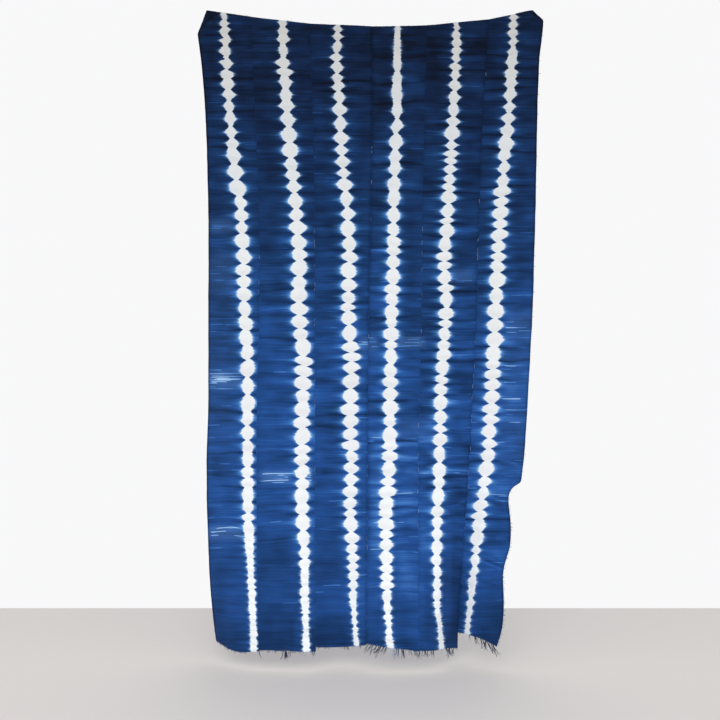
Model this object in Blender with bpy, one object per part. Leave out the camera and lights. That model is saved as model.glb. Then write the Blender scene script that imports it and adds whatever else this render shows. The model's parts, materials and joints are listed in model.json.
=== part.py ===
"""An indigo cloth of six narrow woven strips, hanging by its two top corners.

Metres, +Z up. The front of the cloth faces -Y, +X is to the right as seen from
the front, and the origin is the middle of the top edge. A place on the cloth is
given by two numbers: across, which counts strips from 0 at the left edge to 6
at the right edge, so that whole numbers are seams, and height, which is Z.
"""

import math
from collections import namedtuple

import bmesh
import bpy
from mathutils import Quaternion, Vector

# Driving dimensions, in metres
STRIPS = 6
THICKNESS = 0.0015
GAP = 0.0003
HOLD_RISE = 0.045
BACKING = 0.004

# The two holds, where the top edge is highest. The edge sags between them as a
# power of the distance from its middle, and the right half sags more sharply.
LEFT_HOLD = -0.459
RIGHT_HOLD = 0.451
LEFT_SAG_POWER = 1.75
RIGHT_SAG_POWER = 2.6

# Where the left edge and the seams run, at a few heights
Section = namedtuple("Section", "height left seam_1 seam_2 seam_3 seam_4 seam_5")
SECTIONS = (
    Section(0.045, -0.487, -0.332, -0.171, 0.006, 0.161, 0.332),
    Section(-0.020, -0.483, -0.329, -0.167, 0.006, 0.159, 0.330),
    Section(-0.095, -0.474, -0.328, -0.165, 0.006, 0.157, 0.327),
    Section(-0.235, -0.463, -0.321, -0.161, 0.006, 0.153, 0.318),
    Section(-0.515, -0.456, -0.310, -0.155, 0.003, 0.147, 0.307),
    Section(-0.795, -0.457, -0.309, -0.155, -0.003, 0.144, 0.300),
    Section(-1.075, -0.458, -0.315, -0.154, -0.006, 0.137, 0.287),
    Section(-1.243, -0.464, -0.316, -0.154, -0.007, 0.134, 0.280),
    Section(-1.495, -0.460, -0.315, -0.153, -0.009, 0.134, 0.264),
    Section(-1.635, -0.453, -0.314, -0.152, -0.010, 0.136, 0.256),
    Section(-1.745, -0.441, -0.311, -0.151, -0.010, 0.137, 0.252),
)

# The right edge has a row for each turn, because its margin is torn away from
# the notch down
EdgePoint = namedtuple("EdgePoint", "height right")
NOTCH = (-1.279, -1.284, -1.298, -1.318)
RIGHT_EDGE = (
    EdgePoint(0.045, 0.482),
    EdgePoint(0.000, 0.486),
    EdgePoint(-0.095, 0.474),
    EdgePoint(-0.235, 0.470),
    EdgePoint(-0.515, 0.466),
    EdgePoint(-0.795, 0.458),
    EdgePoint(-1.020, 0.445),
    EdgePoint(-1.190, 0.434),
    EdgePoint(NOTCH[0], 0.424),
    EdgePoint(NOTCH[1], 0.410),
    EdgePoint(NOTCH[2], 0.393),
    EdgePoint(NOTCH[3], 0.386),
    EdgePoint(-1.405, 0.396),
    EdgePoint(-1.467, 0.391),
    EdgePoint(-1.517, 0.370),
    EdgePoint(-1.600, 0.374),
    EdgePoint(-1.680, 0.371),
    EdgePoint(-1.736, 0.353),
)

# How far the cloth stands back (+) or forward (-), in millimetres, at four
# heights, with a row for each crest or valley of its broad folds
Flute = namedtuple("Flute", "across top upper lower hem")
FLUTE_HEIGHTS = (0.0, -0.60, -1.20, -1.75)
FLUTES = (
    Flute(0.0, 4, 22, 34, 64),
    Flute(0.4, 0, 6, 9, 22),
    Flute(1.0, 2, -8, -6, -2),
    Flute(1.5, 0, -13, -14, -16),
    Flute(2.0, 5, 4, -2, -8),
    Flute(2.5, 2, 14, 18, 24),
    Flute(3.0, 7, 6, 2, -6),
    Flute(3.5, 2, -9, -12, -26),
    Flute(4.0, 5, 2, -4, -20),
    Flute(4.5, 2, 10, 4, -10),
    Flute(5.0, 7, 16, 26, 62),
    Flute(5.4, 0, 0, 6, 18),
    Flute(6.0, 2, 14, 6, -8),
)

# Narrower vertical folds that start at a height and deepen to the hem
Fold = namedtuple("Fold", "across half_width start depth")
FOLDS = (
    Fold(1.20, 0.22, -1.52, 0.009),
    Fold(1.54, 0.16, -1.64, 0.014),
    Fold(3.72, 0.24, -1.58, 0.007),
    Fold(4.62, 0.26, -1.50, 0.010),
)
HEM_HEIGHT = -1.745

# Each strip's hem, as heights at its left side, middle and right side
Hem = namedtuple("Hem", "left middle right")
HEMS = (
    Hem(-1.741, -1.757, -1.749),
    Hem(-1.746, -1.744, -1.747),
    Hem(-1.736, -1.746, -1.731),
    Hem(-1.727, -1.733, -1.744),
    Hem(-1.742, -1.744, -1.761),
    Hem(-1.716, -1.716, -1.735),
)

# Soft level waves that the gathered dye stitches leave in each strip
Wave = namedtuple("Wave", "length depth drift")
WAVES = (
    Wave(0.118, 0.0022, 0.9),
    Wave(0.187, 0.0026, 1.7),
)

# The top corners are bent back over a straight line. Each corner's line leaves
# the top edge at top_x and the side at side_x, which is drop lower.
Corner = namedtuple("Corner", "strip top_x side_x drop")
CORNERS = (
    Corner(1, -0.459, -0.483, 0.064),
    Corner(6, 0.457, 0.487, 0.028),
)
BEND_RADIUS = 0.004
BEND_CUTS = 4

# How finely a strip is divided
COLUMNS = (0.0, 0.17, 0.34, 0.5, 0.66, 0.83, 1.0)
ROWS = 52

# Runs of warp ends: which strip, where along its hem, and how they hang
Run = namedtuple("Run", "strip start end strands length lean")
RUNS = (
    Run(1, 0.78, 0.96, 4, 0.014, 0.008),
    Run(2, 0.40, 0.62, 6, 0.020, -0.003),
    Run(3, 0.62, 0.90, 6, 0.010, 0.002),
    Run(4, 0.04, 0.96, 20, 0.023, -0.008),
    Run(5, 0.05, 0.90, 17, 0.020, 0.005),
    Run(6, 0.10, 0.94, 13, 0.030, 0.011),
)
STRAND_SHARE = 0.4
STRAND_SHIFT = 0.22
STRAND_TAPER = 0.55
STRAND_SPREAD = 0.002

# A strand is drawn out in two parts, each with its share of the length and lean
StrandPart = namedtuple("StrandPart", "length lean")
STRAND_PARTS = (StrandPart(0.5, 0.3), StrandPart(0.5, 0.7))

# How quickly each trait of the strands changes from one to the next
SHIFT_PACE = 2.9
LENGTH_PACE = 1.7
LEAN_PACE = 2.4
SPREAD_PACE = 3.1

# The dyed cotton, and the angle past which an edge is shaded sharp
INDIGO = (0.017, 0.062, 0.220, 1.0)
ROUGHNESS = 0.9
SHARP_ANGLE = 50


def smooth_curve(knots, values, at):
    """A curve through values at rising knots, with no kinks at them."""
    if at <= knots[0]:
        return values[0]
    if at >= knots[-1]:
        return values[-1]
    last = len(knots) - 1
    cell = max(i for i in range(last) if knots[i] <= at)

    def slope(i):
        before, after = max(i - 1, 0), min(i + 1, last)
        return (values[after] - values[before]) / (knots[after] - knots[before])

    span = knots[cell + 1] - knots[cell]
    share = (at - knots[cell]) / span
    rise = values[cell + 1] - values[cell]
    leave, arrive = slope(cell) * span, slope(cell + 1) * span
    bend = share * (1 - share)
    return (
        values[cell]
        + rise * share
        + bend * ((leave - rise) * (1 - share) + (rise - arrive) * share)
    )


def straight_curve(knots, values, at):
    """Straight runs through values at rising knots."""
    if at <= knots[0]:
        return values[0]
    for i in range(len(knots) - 1):
        if at <= knots[i + 1]:
            share = (at - knots[i]) / (knots[i + 1] - knots[i])
            return values[i] + (values[i + 1] - values[i]) * share
    return values[-1]


def seam_line(number, height):
    """X of the left edge (0), a seam (1 to 5) or the right edge (6)."""
    if number == STRIPS:
        return straight_curve(
            [-point.height for point in RIGHT_EDGE],
            [point.right for point in RIGHT_EDGE],
            -height,
        )
    return smooth_curve(
        [-section.height for section in SECTIONS],
        [section[1 + number] for section in SECTIONS],
        -height,
    )


def stand_off(across, height):
    """How far back the folds and waves carry the cloth's front at this place."""
    drops = [-level for level in FLUTE_HEIGHTS]
    crests = [
        smooth_curve(drops, (flute.top, flute.upper, flute.lower, flute.hem), -height)
        for flute in FLUTES
    ]
    back = smooth_curve([flute.across for flute in FLUTES], crests, across) / 1000
    for fold in FOLDS:
        off = abs(across - fold.across) / fold.half_width
        grown = min(max((height - fold.start) / (HEM_HEIGHT - fold.start), 0), 1)
        if off < 1:
            back += fold.depth * grown * 0.5 * (1 + math.cos(math.pi * off))
    for wave in WAVES:
        phase = math.tau * height / wave.length + wave.drift * across
        back += wave.depth * math.sin(phase) * math.cos(wave.drift * across + 1)
    return back


def depth(across, height):
    """Y of the cloth's front, which is 0 at the middle of the top edge."""
    return stand_off(across, height) - stand_off(STRIPS / 2, 0)


def on_cloth(across, height):
    """The point of the cloth's front at this place."""
    strip = min(int(across), STRIPS - 1)
    left, right = seam_line(strip, height), seam_line(strip + 1, height)
    x = left + (right - left) * (across - strip)
    return Vector((x, depth(across, height), height))


def facing_back(across, height):
    """The level unit vector from the cloth's front to its back."""
    step = 0.02
    left, right = max(across - step, 0), min(across + step, STRIPS)
    along = on_cloth(right, height) - on_cloth(left, height)
    return Vector((-along.y, along.x, 0)).normalized()


def top_height(x):
    """Height of the top edge at X."""
    if x < 0:
        return HOLD_RISE * min(x / LEFT_HOLD, 1) ** LEFT_SAG_POWER
    return HOLD_RISE * min(x / RIGHT_HOLD, 1) ** RIGHT_SAG_POWER


def hem_height(strip, share):
    """Height of a strip's hem, share of the way across it, straight between columns."""
    levels = [smooth_curve((0, 0.5, 1), HEMS[strip - 1], column) for column in COLUMNS]
    return straight_curve(COLUMNS, levels, share)


def gap_share(strip, height):
    """Half of the gap beside a strip, as a share of its width."""
    width = seam_line(strip, height) - seam_line(strip - 1, height)
    return GAP / 2 / width


def strip_place(strip, share, drop):
    """(across, height) of a place on a strip: drop is 0 at its top edge and 1 at its hem."""
    level = share * seam_line(strip, 0) + (1 - share) * seam_line(strip - 1, 0)
    top = top_height(level)
    height = top + (hem_height(strip, share) - top) * drop
    inset = gap_share(strip, height)
    return strip - 1 + inset + (1 - 2 * inset) * share, height


def bend_corner(mesh, to_back, corner):
    """Cuts creases along the corner's line and wraps what lies past it to the back."""
    top = Vector((corner.top_x, 0, HOLD_RISE))
    run = Vector((corner.side_x - corner.top_x, 0, -corner.drop))
    outward = Vector((math.copysign(corner.drop, corner.top_x), 0, abs(run.x))).normalized()
    straight_back = Vector((0, 1, 0))
    start = top - outward * BEND_RADIUS
    half_turn = math.pi * BEND_RADIUS
    for cut in range(BEND_CUTS + 1):
        crease = start + outward * (half_turn * cut / BEND_CUTS)
        geometry = mesh.verts[:] + mesh.edges[:] + mesh.faces[:]
        bmesh.ops.bisect_plane(mesh, geom=geometry, plane_co=crease, plane_no=outward)
    for vertex in mesh.verts:
        past = (vertex.co - start).dot(outward)
        if past <= 0:
            continue
        turn = min(past / BEND_RADIUS, math.pi)
        reach = BEND_RADIUS * math.sin(turn) - max(past - half_turn, 0)
        back = BEND_RADIUS * (1 - math.cos(turn))
        vertex.co += outward * (reach - past) + straight_back * back
        vertex[to_back] = Quaternion(outward.cross(straight_back), turn) @ vertex[to_back]


def sheet_of(rows, corners=()):
    """A closed sheet on the cloth's front, from rows of (across, height).

    Each vertex keeps how far the back of the cloth lies from it, and the copies
    that the extrusion makes are moved by that much.
    """
    mesh = bmesh.new()
    to_back = mesh.verts.layers.float_vector.new("to_back")
    grid = []
    for row in rows:
        line = []
        for across, height in row:
            vertex = mesh.verts.new(on_cloth(across, height))
            vertex[to_back] = facing_back(across, height) * THICKNESS
            line.append(vertex)
        grid.append(line)
    for upper, lower in zip(grid, grid[1:]):
        for i in range(len(upper) - 1):
            mesh.faces.new((upper[i], lower[i], lower[i + 1], upper[i + 1]))
    for corner in corners:
        bend_corner(mesh, to_back, corner)
    back = bmesh.ops.extrude_face_region(mesh, geom=mesh.faces[:])
    for item in back["geom"]:
        if isinstance(item, bmesh.types.BMVert):
            item.co += item[to_back]
    bmesh.ops.recalc_face_normals(mesh, faces=mesh.faces)
    return mesh


def cotton(name):
    """A material of plain dyed cotton for one piece."""
    material = bpy.data.materials.new(name)
    material.use_nodes = True
    shader = material.node_tree.nodes["Principled BSDF"]
    shader.inputs["Base Color"].default_value = INDIGO
    shader.inputs["Roughness"].default_value = ROUGHNESS
    shader.inputs["Metallic"].default_value = 0.0
    material.diffuse_color = INDIGO
    return material


def add_piece(name, mesh):
    """Makes a finished mesh an object of its own, shaded smooth but for its rim."""
    data = bpy.data.meshes.new(name)
    mesh.to_mesh(data)
    mesh.free()
    data.shade_smooth()
    data.set_sharp_from_angle(angle=math.radians(SHARP_ANGLE))
    data.materials.append(cotton(name + "_cotton"))
    piece = bpy.data.objects.new(name, data)
    bpy.context.scene.collection.objects.link(piece)
    return piece


def row_drops(strip):
    """How far down each row of a strip lies, with rows at each turn of the notch."""
    drops = [row / ROWS for row in range(ROWS + 1)]
    if strip == STRIPS:
        top = top_height(RIGHT_HOLD)
        turns = [(top - height) / (top - hem_height(strip, 1)) for height in NOTCH]
        clear = 0.5 / ROWS
        drops = [
            drop for drop in drops if not turns[0] - clear < drop < turns[-1] + clear
        ]
        drops += turns
    return sorted(drops)


def make_strip(strip):
    rows = [
        [strip_place(strip, share, drop) for share in COLUMNS]
        for drop in row_drops(strip)
    ]
    corners = [corner for corner in CORNERS if corner.strip == strip]
    add_piece(f"strip_{strip}", sheet_of(rows, corners))


def uneven(number, pace):
    """A value from -1 to 1 that jumps about as number counts up, the same each run."""
    return math.sin(pace * number)


def grow_strand(mesh, root, run, number):
    """Draws one warp end out of a face of the backing, with a bend at its middle."""
    count = number + run.strip
    length = run.length * (0.8 + 0.2 * uneven(count, LENGTH_PACE))
    lean = run.lean * (1 + 0.5 * uneven(count, LEAN_PACE))
    spread = STRAND_SPREAD * uneven(count, SPREAD_PACE)
    face = root
    for part in STRAND_PARTS:
        face = bmesh.ops.extrude_discrete_faces(mesh, faces=[face])["faces"][0]
        centre = face.calc_center_median()
        move = Vector((lean * part.lean, spread * part.lean, -length * part.length))
        for vertex in face.verts:
            vertex.co = centre + (vertex.co - centre) * STRAND_TAPER ** part.length + move


def make_fringe(run):
    """A narrow backing under a strip's hem, with a run of warp ends fused to it."""
    pitch = (run.end - run.start) / run.strands
    shares = [run.start]
    for number in range(run.strands):
        shift = STRAND_SHIFT * uneven(number + run.strip, SHIFT_PACE)
        begin = run.start + pitch * (number + 0.5 - STRAND_SHARE / 2 + shift)
        shares += [begin, begin + pitch * STRAND_SHARE]
    shares.append(run.end)
    rows = []
    for drop in (GAP, GAP + BACKING):
        rows.append(
            [
                (run.strip - 1 + share, hem_height(run.strip, share) - drop)
                for share in shares
            ]
        )
    mesh = sheet_of(rows)
    mesh.faces.ensure_lookup_table()
    undersides = [face for face in mesh.faces if face.normal.z < -0.7]
    undersides.sort(key=lambda face: face.calc_center_median().x)
    for number, root in enumerate(undersides[1::2]):
        grow_strand(mesh, root, run, number)
    add_piece(f"fringe_{run.strip}", mesh)


def main():
    for old in list(bpy.data.objects):
        bpy.data.objects.remove(old)
    for strip in range(1, STRIPS + 1):
        make_strip(strip)
    for run in RUNS:
        make_fringe(run)


main()
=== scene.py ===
# %% [markdown]
# # A hanging indigo cloth
#
# The real cloth is made of six narrow hand-woven cotton strips, sewn edge to edge. Before it went
# into the indigo bath, each strip was folded along one line and stitched tightly there. The dye
# could not reach under the stitches, so each strip has a line of pale beads. The cloth hangs by its
# two top corners, and its hem is a row of raw warp ends.
#
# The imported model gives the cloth's outline and its broad folds, as one thick sheet for each strip
# and one row of strands for each hem. This notebook dresses them: finer sheets on the same folds,
# with puckers and creases, dye that follows the weave, sewn seams, and yarn at the edges.

import json
import math
import random
from collections import namedtuple

import bmesh
import bpy
import numpy as np
from mathutils import Matrix, Vector, noise

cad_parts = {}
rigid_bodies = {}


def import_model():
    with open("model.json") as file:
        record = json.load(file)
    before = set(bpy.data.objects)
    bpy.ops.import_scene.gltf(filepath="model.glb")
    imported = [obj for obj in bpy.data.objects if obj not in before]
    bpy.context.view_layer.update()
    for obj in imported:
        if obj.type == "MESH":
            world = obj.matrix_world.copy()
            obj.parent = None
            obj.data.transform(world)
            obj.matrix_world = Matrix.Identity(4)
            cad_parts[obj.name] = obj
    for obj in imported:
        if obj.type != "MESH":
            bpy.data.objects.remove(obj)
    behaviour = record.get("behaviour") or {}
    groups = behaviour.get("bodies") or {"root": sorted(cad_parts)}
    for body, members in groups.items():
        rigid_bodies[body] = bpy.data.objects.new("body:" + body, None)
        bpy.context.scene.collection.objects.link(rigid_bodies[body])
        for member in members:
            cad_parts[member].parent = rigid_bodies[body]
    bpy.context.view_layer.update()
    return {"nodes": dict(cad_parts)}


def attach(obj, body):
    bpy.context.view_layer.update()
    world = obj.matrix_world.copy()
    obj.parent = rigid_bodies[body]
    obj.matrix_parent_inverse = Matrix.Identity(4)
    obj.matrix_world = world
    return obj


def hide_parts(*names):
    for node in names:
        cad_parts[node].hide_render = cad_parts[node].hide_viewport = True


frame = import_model()
print("nodes in the packed model:", sorted(frame["nodes"]))

# %% [markdown]
# ## The studio
#
# The photograph was taken in soft daylight, looking straight at the cloth. A camera's place can be
# worked out from the picture: the lens follows from how large things look, and the height from
# where level lines meet. Standard colour keeps the blues as bright as a screen shows them, where
# Blender's usual view would fade them.

# %% Camera
SCENE = bpy.context.scene
EYE = Vector((-0.028, -2.4, -0.935))
LENS_MM = 42.85

bpy.ops.object.camera_add(location=EYE, rotation=(math.radians(90), 0, 0))
camera = bpy.context.object
camera.name = "camera"
camera.data.lens = LENS_MM
SCENE.camera = camera
SCENE.view_settings.view_transform = "Standard"
print("camera at", tuple(round(x, 3) for x in camera.location), "with a lens of", LENS_MM, "mm")

# %% [markdown]
# The floor is a plain pale board that ends a little way behind the cloth, as far back as the floor
# in the photograph reaches. The world behind it is a plain pale grey, which also lights the cloth
# evenly from all sides. One large soft lamp in front, a little to the left and level with the top
# edge, gives the folds their shade. Nothing here is part of the cloth.

# %% Floor, world and lamp
FLOOR_HEIGHT = -1.798
FLOOR_BACK = 0.58
FLOOR_SIZE = 8.0
FLOOR_FINISH = {"Base Color": (0.62, 0.59, 0.57, 1), "Roughness": 0.7}
SKY_COLOUR = (0.94, 0.94, 0.95, 1)
LAMP_PLACE = Vector((-0.3, -3.0, 0.1))
LAMP_AIM = Vector((0, 0, -1.2))
LAMP_SIZE = (2.4, 2.0)
LAMP_WATTS = 46


def new_material(name, finish):
    """A material with these plain values on its shader, and the shader."""
    material = bpy.data.materials.new(name)
    material.use_nodes = True
    shader = material.node_tree.nodes["Principled BSDF"]
    for socket, value in finish.items():
        shader.inputs[socket].default_value = value
    return material, shader


bpy.ops.mesh.primitive_plane_add(
    size=FLOOR_SIZE, location=(0, FLOOR_BACK - FLOOR_SIZE / 2, FLOOR_HEIGHT)
)
floor = bpy.context.object
floor.name = "floor"
floor.data.materials.append(new_material("pale_floor", FLOOR_FINISH)[0])

world = bpy.data.worlds.new("daylight")
SCENE.world = world
world.use_nodes = True
sky = world.node_tree.nodes["Background"]
sky.inputs["Color"].default_value = SKY_COLOUR
sky.inputs["Strength"].default_value = 1.0

bpy.ops.object.light_add(type="AREA", location=LAMP_PLACE)
lamp = bpy.context.object
lamp.name = "window_light"
lamp.data.shape = "RECTANGLE"
lamp.data.size, lamp.data.size_y = LAMP_SIZE
lamp.data.energy = LAMP_WATTS
lamp.rotation_euler = (LAMP_AIM - LAMP_PLACE).to_track_quat("-Z", "Y").to_euler()
print("stage: a floor at", FLOOR_HEIGHT, "m, daylight and one lamp of", LAMP_WATTS, "watts")

# %% [markdown]
# ## Where the stripes run
#
# The beads were measured on the photograph, so their places are given as they look from the camera,
# drawn onto the upright plane of the top edge. A fold that stands back looks smaller, and the first
# function below allows for it: it follows the line from the eye through a point to that plane.
# Each row of the table is a height with the X of the six stripes there, from left to right.

# %% Stripe paths
MM = 0.001
STRIPS = 6


def table(columns, *rows):
    """Rows of values, with the names of their columns."""
    Row = namedtuple("Row", columns)
    return [Row(*row) for row in rows]


STRIPE_PATHS = table(
    "height first second third fourth fifth sixth",
    (0.040, -0.410, -0.246, -0.090, 0.077, 0.241, 0.402),
    (-0.020, -0.407, -0.244, -0.090, 0.077, 0.242, 0.402),
    (-0.095, -0.403, -0.243, -0.094, 0.076, 0.241, 0.398),
    (-0.235, -0.394, -0.232, -0.085, 0.076, 0.234, 0.390),
    (-0.375, -0.382, -0.221, -0.078, 0.070, 0.226, 0.376),
    (-0.515, -0.361, -0.207, -0.064, 0.066, 0.219, 0.366),
    (-0.655, -0.354, -0.197, -0.057, 0.065, 0.208, 0.358),
    (-0.795, -0.352, -0.200, -0.062, 0.061, 0.215, 0.352),
    (-0.935, -0.342, -0.186, -0.051, 0.058, 0.204, 0.346),
    (-1.075, -0.344, -0.188, -0.056, 0.057, 0.197, 0.339),
    (-1.215, -0.343, -0.190, -0.052, 0.055, 0.196, 0.330),
    (-1.355, -0.342, -0.190, -0.056, 0.045, 0.189, 0.308),
    (-1.495, -0.335, -0.183, -0.048, 0.046, 0.186, 0.294),
    (-1.635, -0.329, -0.182, -0.046, 0.049, 0.190, 0.279),
    (-1.745, -0.325, -0.178, -0.037, 0.057, 0.202, 0.266),
)


def as_seen(points):
    """X and height of points, drawn onto the plane of the top edge along lines to the camera."""
    share = -EYE.y / (points[:, 1] - EYE.y)
    return EYE.x + (points[:, 0] - EYE.x) * share, EYE.z + (points[:, 2] - EYE.z) * share


def stripe_x(strip, heights):
    """X of a strip's stripe, as seen, at these heights. The strip's number is its column."""
    drops = [-path.height for path in STRIPE_PATHS]
    return np.interp(-heights, drops, [path[strip] for path in STRIPE_PATHS])


print("the first stripe moves", round((STRIPE_PATHS[-1].first - STRIPE_PATHS[0].first) / MM), "mm")

# %% [markdown]
# ## Beads
#
# Each stitch gripped a short length of the fold, so the beads are as long as the stitches, mostly
# 20 to 50 mm. Their size changes along a strip: narrow near the top, fat in the middle, and small
# and close at the hem, where they run into a jagged band. The table gives the top of each stretch,
# with the usual length of a bead there, half of its width at the belly and half of its width at
# the neck, in millimetres. The stitches themselves are drawn by chance, from a fixed seed, and run
# on a little past both ends of the cloth.

# %% Bead lengths
STRETCHES = table(
    "strip top length belly neck",
    (1, 0.04, 20, 9, 6),
    (1, -0.01, 22, 13, 7),
    (1, -0.10, 34, 17, 6),
    (1, -0.45, 40, 18, 7),
    (1, -1.05, 40, 17, 6),
    (1, -1.36, 32, 14, 7),
    (1, -1.46, 24, 10, 10),
    (1, -1.66, 18, 8, 11),
    (2, 0.04, 22, 12, 10),
    (2, -0.04, 26, 16, 9),
    (2, -0.10, 34, 19, 8),
    (2, -0.45, 36, 21, 8),
    (2, -1.00, 38, 22, 9),
    (2, -1.42, 38, 17, 8),
    (2, -1.52, 24, 11, 10),
    (2, -1.68, 20, 8, 11),
    (3, 0.02, 26, 11, 6),
    (3, -0.10, 32, 15, 5),
    (3, -0.45, 34, 19, 5),
    (3, -0.75, 34, 18, 4),
    (3, -1.00, 34, 22, 5),
    (3, -1.40, 32, 18, 6),
    (3, -1.56, 30, 12, 6),
    (3, -1.63, 22, 6, 8),
    (3, -1.70, 20, 5, 6),
    (4, 0.02, 48, 7, 7),
    (4, -0.12, 46, 11, 9),
    (4, -0.24, 36, 16, 7),
    (4, -0.50, 35, 17, 7),
    (4, -1.05, 34, 19, 9),
    (4, -1.48, 32, 19, 8),
    (4, -1.60, 28, 13, 6),
    (4, -1.68, 18, 8, 7),
    (5, 0.02, 20, 9, 6),
    (5, -0.08, 24, 14, 5),
    (5, -0.24, 30, 17, 6),
    (5, -0.50, 30, 19, 5),
    (5, -1.00, 34, 18, 5),
    (5, -1.40, 36, 14, 7),
    (5, -1.56, 34, 11, 7),
    (5, -1.66, 20, 6, 8),
    (6, 0.04, 18, 10, 7),
    (6, -0.03, 22, 13, 6),
    (6, -0.10, 32, 16, 7),
    (6, -0.45, 34, 19, 6),
    (6, -1.00, 34, 21, 7),
    (6, -1.42, 32, 17, 7),
    (6, -1.56, 28, 10, 6),
    (6, -1.66, 18, 6, 6),
)
LENGTH_SPREAD = 0.32
TIP_SHIFT = 0.0035
START_ABOVE = 0.03
LAST_STITCH = -1.86


def stretches_of(strip):
    """The rows of the table for one strip."""
    return [stretch for stretch in STRETCHES if stretch.strip == strip]


def stretch_value(strip, name, heights):
    """A column of the table at these heights, in metres, changing gradually between rows."""
    rows = stretches_of(strip)
    values = [getattr(row, name) * MM for row in rows]
    return np.interp(-np.asarray(heights), [-row.top for row in rows], values)


def stitch_bead_necks(strip):
    """Heights of the necks on the left and on the right of a strip's stripe, from the top down."""
    chance = random.Random(strip)
    left, right = [], []
    height = stretches_of(strip)[0].top + START_ABOVE
    while height > LAST_STITCH:
        length = float(stretch_value(strip, "length", height))
        length *= 1 + LENGTH_SPREAD * chance.uniform(-1, 1)
        for side in (left, right):
            side.append(height + TIP_SHIFT * chance.uniform(-1, 1))
        height -= length
    return left, right


necks = {strip: stitch_bead_necks(strip) for strip in range(1, STRIPS + 1)}
for strip, (left, right) in necks.items():
    print(f"stripe {strip}: {len(left)} necks on the left, {len(right)} on the right")

# %% [markdown]
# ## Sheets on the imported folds
#
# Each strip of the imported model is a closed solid, 1.5 mm thick. Its front layer has the true
# outline and folds, so it is the best start for a finer sheet: the copy is merged, the rim is found
# by its sharp edges, and all but the front is deleted. Pairs of triangles become four-sided faces
# again, because those subdivide evenly. A Subdivision Surface then rounds the folds between the
# coarse rows. An open sheet keeps its edges on smooth curves, so neighbours still meet at a seam.

# %% Front layer of a strip
MERGE = 0.00002
RIM_ANGLE = math.radians(62)
QUAD_ANGLE = math.radians(40)
FINENESS = 3


def only(piece):
    """Makes one object the selected and active one."""
    bpy.ops.object.select_all(action="DESELECT")
    piece.select_set(True)
    bpy.context.view_layer.objects.active = piece


def apply_modifier(piece, kind, **settings):
    """Adds a modifier with these settings and applies it."""
    only(piece)
    modifier = piece.modifiers.new(kind.lower(), kind)
    for name, value in settings.items():
        setattr(modifier, name, value)
    bpy.ops.object.modifier_apply(modifier=modifier.name)


def front_layer(strip):
    """A new object with the front face of a packed strip, subdivided."""
    node = frame["nodes"][f"strip_{strip}"]
    sheet = bpy.data.objects.new(f"woven_strip_{strip}", node.data.copy())
    SCENE.collection.objects.link(sheet)
    sheet.data.materials.clear()
    only(sheet)
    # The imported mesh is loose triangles, so it is merged, and its sharp rim is marked as a seam.
    bpy.ops.object.mode_set(mode="EDIT")
    bpy.ops.mesh.select_mode(type="EDGE")
    bpy.ops.mesh.select_all(action="SELECT")
    bpy.ops.mesh.customdata_custom_splitnormals_clear()
    bpy.ops.mesh.remove_doubles(threshold=MERGE)
    bpy.ops.mesh.select_all(action="DESELECT")
    bpy.ops.mesh.edges_select_sharp(sharpness=RIM_ANGLE)
    bpy.ops.mesh.mark_seam(clear=False)
    # The face that looks most to the front leads to all that the rim encloses there.
    bpy.ops.mesh.select_mode(type="FACE")
    bpy.ops.mesh.select_all(action="DESELECT")
    shape = bmesh.from_edit_mesh(sheet.data)
    foremost = min(shape.faces, key=lambda face: face.normal.y)
    foremost.select_set(True)
    bmesh.update_edit_mesh(sheet.data)
    bpy.ops.mesh.select_linked(delimit={"SEAM"})
    bpy.ops.mesh.select_all(action="INVERT")
    bpy.ops.mesh.delete(type="FACE")
    # What is left becomes an even net of four-sided faces.
    bpy.ops.mesh.select_all(action="SELECT")
    bpy.ops.mesh.mark_seam(clear=True)
    bpy.ops.mesh.tris_convert_to_quads(face_threshold=QUAD_ANGLE, shape_threshold=QUAD_ANGLE)
    bpy.ops.object.mode_set(mode="OBJECT")
    apply_modifier(
        sheet,
        "SUBSURF",
        levels=FINENESS,
        render_levels=FINENESS,
        boundary_smooth="PRESERVE_CORNERS",
    )
    return sheet


sheets = {strip: front_layer(strip) for strip in range(1, STRIPS + 1)}
for strip, sheet in sheets.items():
    print(sheet.name, "has", len(sheet.data.polygons), "faces")
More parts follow.
